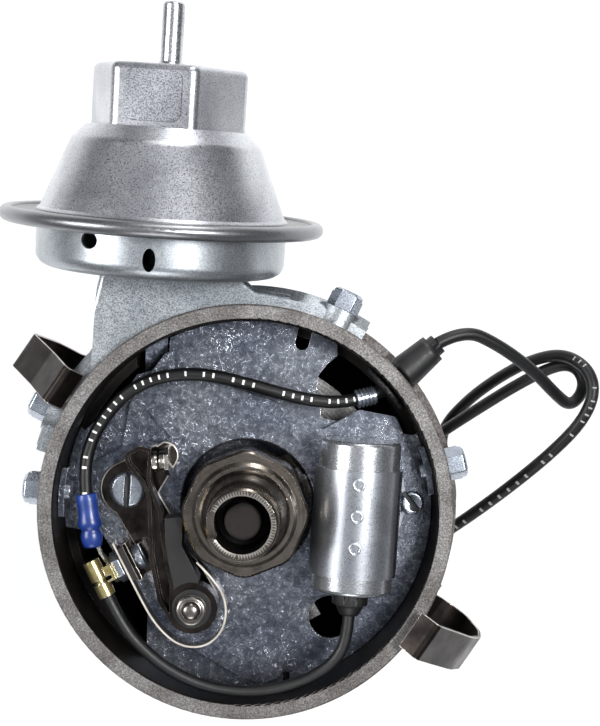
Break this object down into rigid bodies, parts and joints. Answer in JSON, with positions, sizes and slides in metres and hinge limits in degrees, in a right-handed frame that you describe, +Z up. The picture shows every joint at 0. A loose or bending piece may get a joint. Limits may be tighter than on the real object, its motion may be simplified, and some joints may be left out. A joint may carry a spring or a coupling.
{
  "type": "ignition distributor",
  "caption": "Breaker-point ignition distributor with open bowl, eight-lobed cam, contact set, condenser, vacuum advance unit, cap clips and a long free lead.",
  "frame": {"origin": "on the shaft's axis, at the face that seats on the engine block", "axes": "+Z up the shaft towards the cap, +Y towards the vacuum unit"},
  "size_m": [0.1399, 0.1593, 0.1742],
  "materials": {
    "cast_iron": "sand-cast, machined rim",
    "cast_alloy": "frosted die casting",
    "pressed_steel": "frosted pressed steel",
    "zinc_plate": "zinc plated, scratched",
    "hard_steel": "turned",
    "cam_bronze": "dark bronze-brown, turned",
    "bush_bronze": "sintered bronze",
    "contact_metal": "ground",
    "fibre_block": "moulded fibre",
    "dark_plastic": "moulded",
    "lead_rubber": "smooth insulation",
    "boot_rubber": "moulded",
    "sleeve_blue": "moulded sleeve",
    "terminal_brass": "tinned brass",
    "can_metal": "satin drawn can",
    "felt": "felt",
    "diaphragm_rubber": "sheet"
  },
  "bodies": {
    "housing": {"housing": "cast_iron", "bowl_wall": "cast_iron", "lower_bushing": "bush_bronze", "upper_bushing": "bush_bronze", "shank_seal_ring": "boot_rubber", "sub_plate": "zinc_plate", "plate_screws": "zinc_plate", "vacuum_bracket": "cast_alloy", "vacuum_bracket_screws": "zinc_plate", "vacuum_cup": "pressed_steel", "vacuum_dome": "pressed_steel", "vacuum_nipple": "pressed_steel", "diaphragm": "diaphragm_rubber", "diaphragm_spring": "hard_steel", "lead_grommet": "boot_rubber", "lead_ferrule": "pressed_steel", "clip_pins": "hard_steel", "primary_lead_inner": "lead_rubber", "primary_lead": "lead_rubber", "lead_terminal": "terminal_brass"},
    "shaft": {"drive_shaft": "hard_steel", "shaft_collar": "hard_steel", "collar_pin": "hard_steel", "thrust_washers": "bush_bronze", "governor_plate": "zinc_plate"},
    "cam": {"cam": "cam_bronze", "cam_wick": "felt", "cam_retainer": "hard_steel", "governor_springs": "hard_steel"},
    "weight_a": {"weight_a": "hard_steel"},
    "weight_b": {"weight_b": "hard_steel"},
    "breaker_plate": {"breaker_plate": "zinc_plate", "plate_retainer": "hard_steel", "link_pin": "hard_steel", "contact_base": "zinc_plate", "fixed_contact": "contact_metal", "pivot_post": "hard_steel", "pivot_clip": "hard_steel", "lock_screw": "zinc_plate", "terminal_bracket": "zinc_plate", "terminal_insulator": "dark_plastic", "terminal_screw": "terminal_brass", "terminal_nut": "terminal_brass", "condenser_can": "can_metal", "condenser_strap": "zinc_plate", "condenser_seal": "boot_rubber", "condenser_screw": "zinc_plate", "condenser_lead": "lead_rubber", "condenser_terminal": "terminal_brass", "primary_terminal_sleeve": "sleeve_blue", "primary_terminal": "terminal_brass"},
    "link": {"advance_link": "zinc_plate", "diaphragm_plates": "zinc_plate"},
    "breaker_arm": {"breaker_arm": "zinc_plate", "rubbing_block": "fibre_block", "moving_contact": "contact_metal", "arm_bushing": "dark_plastic", "arm_spring": "hard_steel"},
    "clip_left": {"clip_left": "hard_steel"},
    "clip_right": {"clip_right": "hard_steel"}
  },
  "joints": [
    {"name": "shaft_spin", "type": "hinge", "parent": "housing", "child": "shaft", "pos_m": [0, 0, 0], "axis": [0, 0, 1], "continuous": true},
    {"name": "cam_advance", "type": "hinge", "parent": "shaft", "child": "cam", "pos_m": [0, 0, 0.057], "axis": [0, 0, 1], "range_deg": [0, 12], "stiffness_Nm_per_rad": 0.05, "deforming": ["governor_springs"]},
    {"name": "weight_a_swing", "type": "hinge", "parent": "shaft", "child": "weight_a", "pos_m": [0.02598, 0.015, 0.049], "axis": [0, 0, 1], "range_deg": [-9.2, 0]},
    {"name": "weight_b_swing", "type": "hinge", "parent": "shaft", "child": "weight_b", "pos_m": [-0.02598, -0.015, 0.049], "axis": [0, 0, 1], "range_deg": [-9.2, 0]},
    {"name": "plate_advance", "type": "hinge", "parent": "housing", "child": "breaker_plate", "pos_m": [0, 0, 0.066], "axis": [0, 0, -1], "range_deg": [0, 10], "stiffness_Nm_per_rad": 0.3, "deforming": ["primary_lead_inner", "diaphragm_spring", "diaphragm"]},
    {"name": "link_pull", "type": "slide", "parent": "housing", "child": "link", "axis": [0, 0.9917, 0.1288], "range_m": [0, 0.00412]},
    {"name": "breaker_arm_swing", "type": "hinge", "parent": "breaker_plate", "child": "breaker_arm", "pos_m": [-0.0105, -0.0225, 0.077], "axis": [0, 0, 1], "range_deg": [0, 5], "stiffness_Nm_per_rad": 0.2, "deforming": ["arm_spring"]},
    {"name": "clip_left_swing", "type": "hinge", "parent": "housing", "child": "clip_left", "pos_m": [-0.0433, 0.0256, 0.041], "axis": [-0.509, -0.8607, 0], "range_deg": [0, 70]},
    {"name": "clip_right_swing", "type": "hinge", "parent": "housing", "child": "clip_right", "pos_m": [0.0433, -0.0256, 0.041], "axis": [0.509, 0.8607, 0], "range_deg": [0, 70]}
  ],
  "couplings": [
    {"joint": "weight_a_swing", "follows": "cam_advance", "ratio": -0.76471},
    {"joint": "weight_b_swing", "follows": "cam_advance", "ratio": -0.76471},
    {"joint": "link_pull", "follows": "plate_advance", "m_per_rad": 0.0236}
  ]
}
